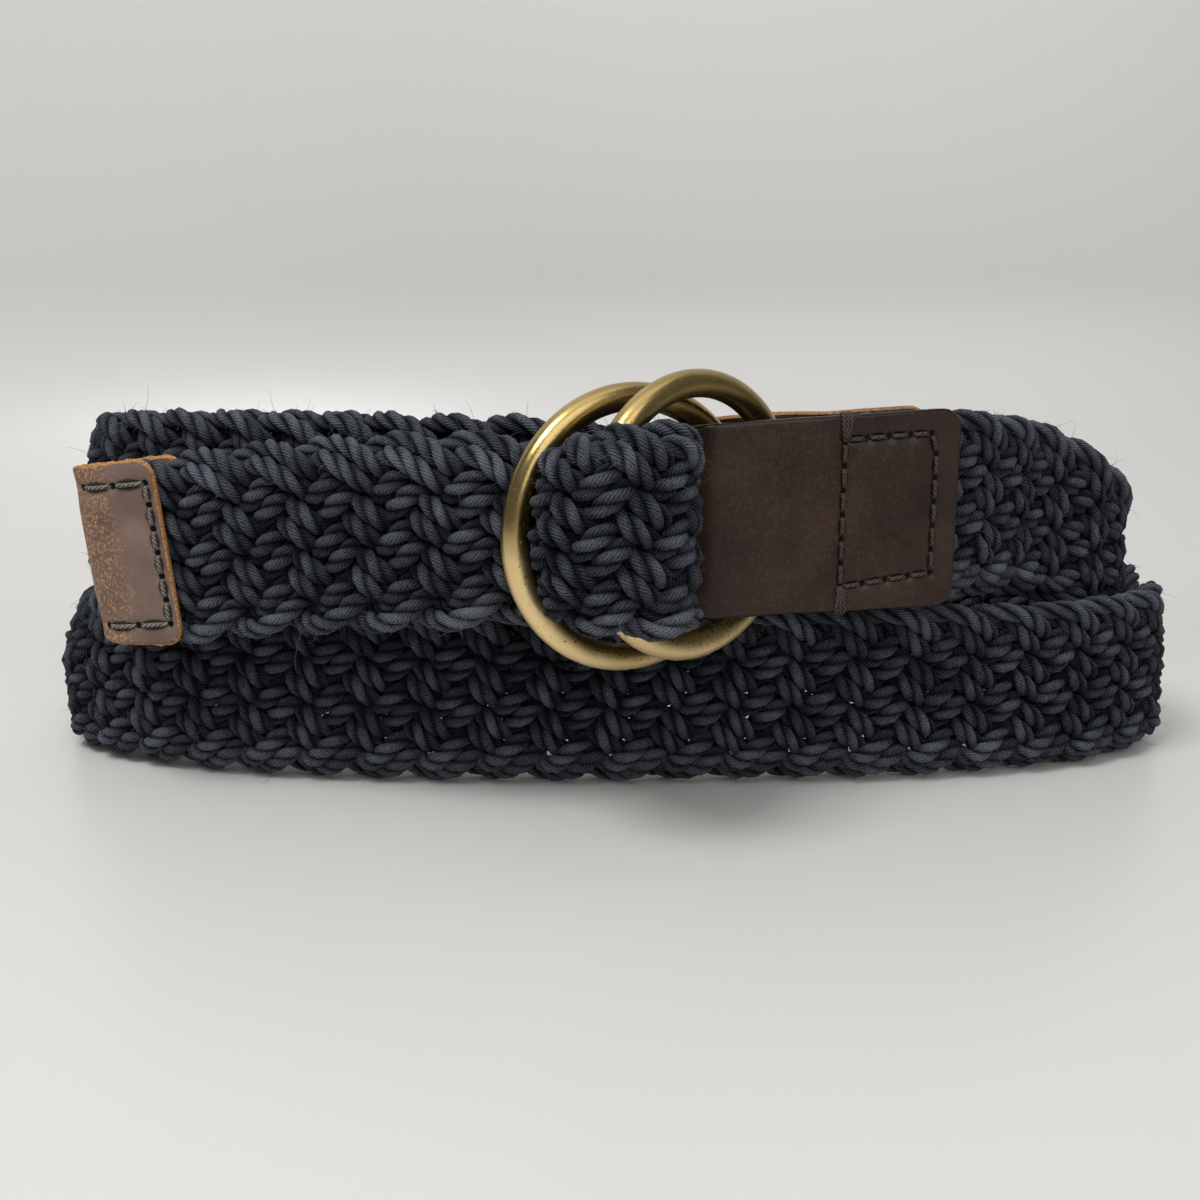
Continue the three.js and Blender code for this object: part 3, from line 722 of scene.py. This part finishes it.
class Strip:
    """A folded strip of leather on edge. A point on it is its run from the outer end, its height
    from the middle line and how far it stands out of the outer face. A seam is its first hole, its
    last one and their number; a wrap is a hole whose thread also goes over the edge, up or down."""

    def __init__(self, name, line, upright, size, seams, wraps):
        self.name, self.line, self.upright, self.size = name, line, upright, size
        self.seams = [np.linspace(start, end, count) for start, end, count in seams]
        self.wraps = wraps

    def halfAt(self, run):
        """Half the height: the strip's own less its narrowing to the fold and its round corners."""
        fromEnd = np.minimum(run, self.line.length - run)
        left = np.maximum(0, leather["corner"] - fromEnd)
        cut = leather["corner"] - np.sqrt(np.maximum(leather["corner"] ** 2 - left**2, 0))
        return self.size["width"] / 2 - self.size["narrowing"] * fromEnd / self.line.length - cut

    def at(self, run, height, out):
        """The point at a run, height and distance out of the middle of the leather."""
        level = self.line.placeAt(run) - out[..., None] * self.line.sideAt(run)
        return level + height[..., None] * self.upright

    def sinkAt(self, run, height):
        """How deep the stitching pulls the face in: a pit at each hole, and a narrow groove in a
        broad hollow along each seam."""
        pit, groove = np.zeros(run.shape), np.zeros(run.shape)
        for holes in self.seams:
            for a, b in holes:
                near = ((run - a) / 0.5) ** 2 + ((height - b) / 0.6) ** 2
                pit = np.maximum(pit, np.exp(-near))
            first, span = holes[0], holes[-1] - holes[0]
            share = ((run - first[0]) * span[0] + (height - first[1]) * span[1]) / (span @ span)
            share = np.clip(share, 0, 1)
            away = np.hypot(run - first[0] - share * span[0], height - first[1] - share * span[1])
            dent = 0.25 * np.exp(-((away / 0.7) ** 2)) + 0.50 * np.exp(-((away / 3.0) ** 2))
            groove = np.maximum(groove, dent)
        return 0.3 * pit + groove

    def piece(self, nodes, slot, material):
        """The leather: two faces, round long edges, thin round ends, and the stitching's dents."""
        grid, edgeRound, thick = 0.5, 0.7, leather["thickness"] / 2
        ends = np.array([0, 0.04, 0.12, 0.25, 0.42])
        inner = np.linspace(0.7, self.line.length - 0.7, int(self.line.length / grid))
        run = np.concatenate([ends, inner, self.line.length - ends[::-1]])
        fromEnd = np.minimum(run, self.line.length - run)
        taper = np.sqrt(1 - np.clip(1 - fromEnd / 0.42, 0, 1) ** 2) * 0.6 + 0.4
        across = np.linspace(-1, 1, int(self.size["width"] / grid))
        angles = np.linspace(0, math.pi, 9)[1:-1]
        half = self.halfAt(run)[:, None]
        flat = across * (half - edgeRound)
        ragged = self.size["ragged"] * np.stack([drift(run, 0.6, 1.0) for _ in angles], -1)
        rim = half - edgeRound + (edgeRound + ragged) * np.sin(angles)
        cells = np.ones_like
        height = np.concatenate([flat, rim, flat[:, ::-1], -rim[:, ::-1]], 1)
        out = np.concatenate([
            cells(flat), cells(rim) * np.cos(angles), -cells(flat), -cells(rim) * np.cos(angles),
        ], 1) * thick * taper[:, None]
        turned = np.concatenate([
            0 * flat, cells(rim) * angles / math.pi,
            0 * flat, cells(rim) * (1 - angles / math.pi),
        ], 1)
        endRim = np.clip(1 - fromEnd / 0.5, 0, 1)[:, None] * np.where(out > 0, 0.45, 1.0)
        runs = np.broadcast_to(run[:, None], height.shape)
        runIn = np.minimum(runs, self.line.length - runs)
        out = out - np.where(out > 0, self.sinkAt(runIn, height), 0)
        points = self.at(runs, height, out)
        size = height.shape[1]
        number = np.arange(height.size).reshape(len(run), size)
        after = np.roll(number, -1, axis=1)
        faces = [np.stack([number[:-1], after[:-1], after[1:], number[1:]], -1).reshape(-1, 4)]
        for k in range(size // 2 - 1):
            a, b, c, d = k, k + 1, size - 2 - k, size - 1 - k
            faces.append(number[0, [a, d, c, b]][None])
            faces.append(number[-1, [a, b, c, d]][None])
        faces = np.concatenate(faces)
        flatPlace = np.stack([np.where(out > -0.4, runIn, -20.0), height], -1).reshape(-1, 2)
        values = dict(rim=np.maximum(turned, endRim))
        piece = meshOf(self.name, points.reshape(-1, 3), faces, values, flatPlace[faces])
        return place(piece, nodes, slot, material)

    def stitches(self, nodes, slot, material):
        """A thread from each hole into the next, low in its slit on both faces, and over the edge
        in three turns at each wrap."""
        lines = []
        steps = np.linspace(0, 1, 15)
        outer = leather["thickness"] / 2
        for holes in self.seams:
            for a, b in zip(holes[:-1], holes[1:]):
                fromMiddle = np.sin(math.pi * (steps - 0.5))
                share = 0.5 + (0.5 - 0.72 / np.hypot(*(b - a))) * fromMiddle
                run, height = (a[i] + (b[i] - a[i]) * share for i in (0, 1))
                out = outer - 0.36 - 0.85 * np.abs(fromMiddle) ** 12
                lines.append(self.at(run, height, out))
                lines.append(self.at(self.line.length - run, height, out))
        for (run, height), up in self.wraps:
            edge = self.halfAt(np.array(run))
            start = up * height
            for shift in (-0.7, 0.0, 0.7):
                high = np.interp(steps, [0, 0.4, 0.5, 0.6, 1], [start, edge, edge + 0.25, edge, start])
                out = np.interp(
                    steps, [0, 0.08, 0.36, 0.5, 0.64, 0.92, 1],
                    [outer - 0.7, outer, outer + 0.1, 0, -outer - 0.2, -outer - 0.1, 0.6 - outer],
                )
                aside = run + shift * np.interp(steps, [0, 0.3, 1], [0.3, 1, 0.6])
                lines.append(self.at(aside, up * high, out))
        lines = np.array(lines)
        radius = np.full(lines.shape[:2], 0.38)
        ahead = unit(np.gradient(lines, axis=1))
        upright = np.cross(ahead, np.array([0.31, 0.22, 0.93]))
        points, faces, spread = tubes(lines, radius, 8, unit(upright))
        piece = meshOf(self.name + "_stitches", points, faces, None, spread)
        return place(piece, nodes, slot, material)


def besideStrap(run, face):
    """A point beside the strap's middle, on its right (1) or left (-1), at the leather's distance."""
    run = np.array(float(run))
    return route.placeAt(run) + face * leatherOffset * route.sideAt(run)


darkLook = dict(
    dark=(0.013, 0.0072, 0.0050), pale=(0.042, 0.0235, 0.0160), core=(0.42, 0.21, 0.09), grain=1500.0,
    gloss=0.22, rough=0.24, hole=(0.50, 0.62), slit=0.62, veins=0.04, veinsFrom=8.0, rawFrom=0.62,
)
buckleSeams = [
    ((20.9, 12.3), (20.9, -12.3), 7), ((20.9, 12.6), (5.3, 12.9), 5), ((4.3, 9.5), (4.3, -11.0), 6),
    ((4.3, -11.0), (20.9, -12.3), 5), ((5.3, 12.9), (4.3, 9.5), 2),
]
paleLook = dict(
    dark=(0.085, 0.055, 0.042), pale=(0.215, 0.150, 0.118), core=(0.55, 0.27, 0.10), grain=1800.0,
    gloss=0.25, rough=0.42, hole=(0.66, 0.66), slit=0.95, veins=0.8, veinsFrom=9.0, rawFrom=0.22,
)
tipSeams = [
    ((14.6, 11.8), (1.9, 12.0), 3), ((1.9, 12.0), (1.9, 8.3), 2), ((1.9, 8.3), (1.9, -8.1), 5),
    ((1.9, -8.1), (1.9, -12.3), 2), ((1.9, -12.3), (14.6, -12.4), 3),
]


def buckleTab():
    """The dark tab: from its end on the front of the strap, round both rings and back behind."""
    grip = [tab["grip"] * share for share in (1, 0.66, 0.33)] + [leather["inset"]]
    points = [besideStrap(run, 1) for run in grip] + [frontPoint(row) for row in tabLoop]
    points += [besideStrap(run, -1) for run in reversed(grip)]
    wraps = [((20.9, 12.3), 1), ((20.9, -12.3), -1)]
    strip = Strip("buckle_leather", Route(points), np.array([0, 0, 1.0]), tab, buckleSeams, wraps)
    strip.piece(["buckle_tab"], "dark_leather", leatherPaint("dark_leather", darkLook, buckleSeams))
    thread = threadPaint("dark_thread", (0.020, 0.013, 0.010), (0.085, 0.060, 0.046))
    strip.stitches(["buckle_tab"], "dark_leather", thread)


def tipTab():
    """The paler tab: folded over the free end, leaning with it and lower at its fold."""
    end = np.array(route.length)
    grip = [route.length - tip["grip"] * share for share in (1, 0.66, 0.33)]
    grip.append(route.length - leather["inset"])
    heading, side = route.headingAt(end), route.sideAt(end)
    fold = [
        route.placeAt(end) + leatherOffset * (heading * math.sqrt(1 - share**2) + side * share)
        for share in (-0.7, 0, 0.7)
    ]
    points = [besideStrap(run, -1) for run in grip] + fold
    points += [besideStrap(run, 1) for run in reversed(grip)]
    upright = np.array([0, 0, 1.0]) + heading * float(route.formAt(end, "lean")[0])
    strip = Strip("tip_leather", Route(points), upright, tip, tipSeams, [])
    strip.piece(["tip_tab"], "pale_leather", leatherPaint("pale_leather", paleLook, tipSeams))
    thread = threadPaint("pale_thread", (0.050, 0.040, 0.035), (0.300, 0.260, 0.230))
    strip.stitches(["tip_tab"], "pale_leather", thread)


buckleTab()
tipTab()
print("scene: leather stitched")

# The table that curves up into the wall behind it, the light and the camera.
room = dict(colour=(0.575, 0.567, 0.548), back=0.105, bend=0.10, reach=3)


def backdrop():
    """The table and the wall as one sheet, in metres, that isn't part of the belt: flat up to the
    bend, a quarter round, and upright from there."""
    angles = np.linspace(0, math.pi / 2, 25)
    back, bend, reach = room["back"], room["bend"], room["reach"]
    depth = [-reach, *(back + bend * np.sin(angles)), back + bend]
    height = [0, *(bend - bend * np.cos(angles)), reach]
    corners = [(side, y, z) for y, z in zip(depth, height) for side in (-reach, reach)]
    faces = [(i, i + 1, i + 3, i + 2) for i in range(0, len(corners) - 2, 2)]
    mesh = bpy.data.meshes.new("backdrop")
    mesh.from_pydata(corners, [], faces)
    mesh.shade_smooth()
    piece = bpy.data.objects.new("backdrop", mesh)
    bpy.context.collection.objects.link(piece)
    mesh.materials.append(Paint("backdrop", {"Roughness": 0.35, "Base Color": (*room["colour"], 1)}).material)


backdrop()


def areaLight(name, place, target, size, power, colour=(1, 1, 1)):
    """A square light that looks from its place at a target."""
    light = bpy.data.lights.new(name, "AREA")
    light.size, light.energy, light.color = size, power, colour
    lamp = bpy.data.objects.new(name, light)
    lamp.location = place
    away = np.array(target) - np.array(place)
    lamp.rotation_euler = Vector(away).to_track_quat("-Z", "Y").to_euler()
    bpy.context.collection.objects.link(lamp)


areaLight("key", (-0.30, -0.30, 0.75), (0, 0, 0.03), 0.30, 4.4)
areaLight("fill", (0.25, -0.70, 0.55), (0, 0, 0.03), 0.7, 3.6)
areaLight("ceiling", (-0.1, 0.0, 1.3), (-0.1, 0.0, 0.0), 1.4, 7.5)

world = bpy.data.worlds.new("room")
bpy.context.scene.world = world
world.use_nodes = True
world.node_tree.nodes["Background"].inputs[0].default_value = (0.80, 0.82, 0.85, 1)
world.node_tree.nodes["Background"].inputs[1].default_value = 0.22

camera = bpy.data.cameras.new("camera")
camera.sensor_width = 36
camera.lens = 36 * 1250 / 1200
camera.clip_start, camera.clip_end = 0.01, 20
eye = bpy.data.objects.new("camera", camera)
eye.location = (-0.0027, -0.2330, 0.0810)
eye.rotation_euler = (math.radians(90 - 12), 0, 0)
bpy.context.collection.objects.link(eye)
bpy.context.scene.camera = eye
bpy.context.scene.view_settings.view_transform = "Standard"

print("scene: finished")
